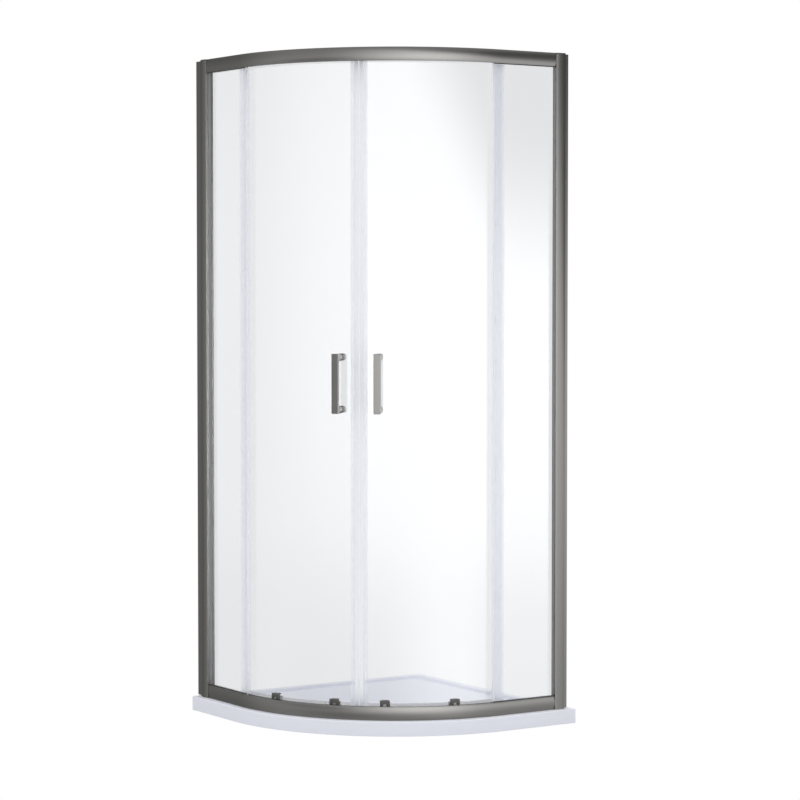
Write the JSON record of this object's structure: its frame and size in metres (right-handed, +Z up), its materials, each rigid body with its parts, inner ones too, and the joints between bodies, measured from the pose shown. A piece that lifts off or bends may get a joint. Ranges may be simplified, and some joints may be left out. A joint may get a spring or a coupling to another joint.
{
  "type": "quadrant shower enclosure",
  "caption": "Corner shower enclosure with a curved front: low tray, framed fixed panes and curved glass doors that slide apart on rollers.",
  "frame": {"origin": "centre of the tray's square footprint, at floor level", "axes": "+Z up, the walls on the -X and +Y sides, the curved front towards +X and -Y"},
  "size_m": [0.8, 0.8, 1.89],
  "materials": {
    "tray_resin": "glossy cast resin",
    "gunmetal": "satin anodised gunmetal",
    "handle_metal": "satin gunmetal",
    "dark_plastic": "moulded",
    "clear_glass": "clear toughened",
    "clear_seal": "clear flexible extrusion",
    "black_rubber": "matt",
    "magnet_rubber": "pale strip",
    "steel": "satin",
    "roller_plastic": "moulded grey",
    "nylon": "turned nylon"
  },
  "bodies": {
    "frame": {"tray": "tray_resin", "bottom_rail": "gunmetal", "top_rail": "gunmetal", "wall_profile_left": "gunmetal", "post_left": "gunmetal", "fixed_glass_left": "clear_glass", "post_gasket_left": "black_rubber", "fixed_edge_seal_left": "clear_seal", "wall_profile_right": "gunmetal", "post_right": "gunmetal", "fixed_glass_right": "clear_glass", "post_gasket_right": "black_rubber", "fixed_edge_seal_right": "clear_seal", "post_caps": "dark_plastic", "glazing_strips": "black_rubber", "rail_screws": "steel", "profile_screws": "steel", "screw_covers": "dark_plastic", "door_stops": "black_rubber"},
    "left_door": {"door_glass_left": "clear_glass", "meeting_seal_left": "clear_seal", "magnet_strip_left": "magnet_rubber", "trailing_seal_left": "clear_seal", "bottom_seal_left": "clear_seal", "handle_left": "handle_metal", "handle_collars_left": "handle_metal", "handle_studs_left": "steel", "handle_knobs_left": "handle_metal", "top_roller_bolts_left": "steel", "roller_housings_left": "roller_plastic", "housing_screws_left": "steel", "release_spring_left_inner": "steel", "release_spring_left_outer": "steel"},
    "right_door": {"door_glass_right": "clear_glass", "meeting_seal_right": "clear_seal", "magnet_strip_right": "magnet_rubber", "trailing_seal_right": "clear_seal", "bottom_seal_right": "clear_seal", "handle_right": "handle_metal", "handle_collars_right": "handle_metal", "handle_studs_right": "steel", "handle_knobs_right": "handle_metal", "top_roller_bolts_right": "steel", "roller_housings_right": "roller_plastic", "housing_screws_right": "steel", "release_spring_right_inner": "steel", "release_spring_right_outer": "steel"},
    "slider_left_inner": {"roller_slider_left_inner": "roller_plastic"},
    "top_roller_left_inner": {"top_wheel_left_inner": "nylon"},
    "bottom_roller_left_inner": {"bottom_wheel_left_inner": "nylon"},
    "slider_left_outer": {"roller_slider_left_outer": "roller_plastic"},
    "top_roller_left_outer": {"top_wheel_left_outer": "nylon"},
    "bottom_roller_left_outer": {"bottom_wheel_left_outer": "nylon"},
    "slider_right_inner": {"roller_slider_right_inner": "roller_plastic"},
    "top_roller_right_inner": {"top_wheel_right_inner": "nylon"},
    "bottom_roller_right_inner": {"bottom_wheel_right_inner": "nylon"},
    "slider_right_outer": {"roller_slider_right_outer": "roller_plastic"},
    "top_roller_right_outer": {"top_wheel_right_outer": "nylon"},
    "bottom_roller_right_outer": {"bottom_wheel_right_outer": "nylon"}
  },
  "joints": [
    {"name": "left_door_slide", "type": "hinge", "parent": "frame", "child": "left_door", "pos_m": [-0.15, 0.15, 0], "axis": [0, 0, -1], "range_deg": [0, 22.4]},
    {"name": "right_door_slide", "type": "hinge", "parent": "frame", "child": "right_door", "pos_m": [-0.15, 0.15, 0], "axis": [0, 0, 1], "range_deg": [0, 22.4]},
    {"name": "release_left_inner", "type": "slide", "parent": "left_door", "child": "slider_left_inner", "axis": [0, 0, -1], "range_m": [0, 0.004], "stiffness_N_per_m": 800, "springref_m": -0.002, "deforming": ["release_spring_left_inner"]},
    {"name": "top_wheel_spin_left_inner", "type": "hinge", "parent": "left_door", "child": "top_roller_left_inner", "pos_m": [0.15885, -0.26361, 1.8767], "axis": [0.5983, -0.8013, 0], "continuous": true},
    {"name": "bottom_wheel_spin_left_inner", "type": "hinge", "parent": "slider_left_inner", "child": "bottom_roller_left_inner", "pos_m": [0.15885, -0.26361, 0.0533], "axis": [0.5983, -0.8013, 0], "continuous": true},
    {"name": "release_left_outer", "type": "slide", "parent": "left_door", "child": "slider_left_outer", "axis": [0, 0, -1], "range_m": [0, 0.004], "stiffness_N_per_m": 800, "springref_m": -0.002, "deforming": ["release_spring_left_outer"]},
    {"name": "top_wheel_spin_left_outer", "type": "hinge", "parent": "left_door", "child": "top_roller_left_outer", "pos_m": [-0.02381, -0.35054, 1.8767], "axis": [0.2445, -0.9697, 0], "continuous": true},
    {"name": "bottom_wheel_spin_left_outer", "type": "hinge", "parent": "slider_left_outer", "child": "bottom_roller_left_outer", "pos_m": [-0.02381, -0.35054, 0.0533], "axis": [0.2445, -0.9697, 0], "continuous": true},
    {"name": "release_right_inner", "type": "slide", "parent": "right_door", "child": "slider_right_inner", "axis": [0, 0, -1], "range_m": [0, 0.004], "stiffness_N_per_m": 800, "springref_m": -0.002, "deforming": ["release_spring_right_inner"]},
    {"name": "top_wheel_spin_right_inner", "type": "hinge", "parent": "right_door", "child": "top_roller_right_inner", "pos_m": [0.26361, -0.15885, 1.8767], "axis": [0.8013, -0.5983, 0], "continuous": true},
    {"name": "bottom_wheel_spin_right_inner", "type": "hinge", "parent": "slider_right_inner", "child": "bottom_roller_right_inner", "pos_m": [0.26361, -0.15885, 0.0533], "axis": [0.8013, -0.5983, 0], "continuous": true},
    {"name": "release_right_outer", "type": "slide", "parent": "right_door", "child": "slider_right_outer", "axis": [0, 0, -1], "range_m": [0, 0.004], "stiffness_N_per_m": 800, "springref_m": -0.002, "deforming": ["release_spring_right_outer"]},
    {"name": "top_wheel_spin_right_outer", "type": "hinge", "parent": "right_door", "child": "top_roller_right_outer", "pos_m": [0.35054, 0.02381, 1.8767], "axis": [0.9697, -0.2445, 0], "continuous": true},
    {"name": "bottom_wheel_spin_right_outer", "type": "hinge", "parent": "slider_right_outer", "child": "bottom_roller_right_outer", "pos_m": [0.35054, 0.02381, 0.0533], "axis": [0.9697, -0.2445, 0], "continuous": true}
  ],
  "couplings": [
    {"joint": "top_wheel_spin_left_inner", "follows": "left_door_slide", "ratio": 79.415},
    {"joint": "bottom_wheel_spin_left_inner", "follows": "left_door_slide", "ratio": -79.415},
    {"joint": "top_wheel_spin_left_outer", "follows": "left_door_slide", "ratio": 79.415},
    {"joint": "bottom_wheel_spin_left_outer", "follows": "left_door_slide", "ratio": -79.415},
    {"joint": "top_wheel_spin_right_inner", "follows": "right_door_slide", "ratio": -79.415},
    {"joint": "bottom_wheel_spin_right_inner", "follows": "right_door_slide", "ratio": 79.415},
    {"joint": "top_wheel_spin_right_outer", "follows": "right_door_slide", "ratio": -79.415},
    {"joint": "bottom_wheel_spin_right_outer", "follows": "right_door_slide", "ratio": 79.415}
  ]
}
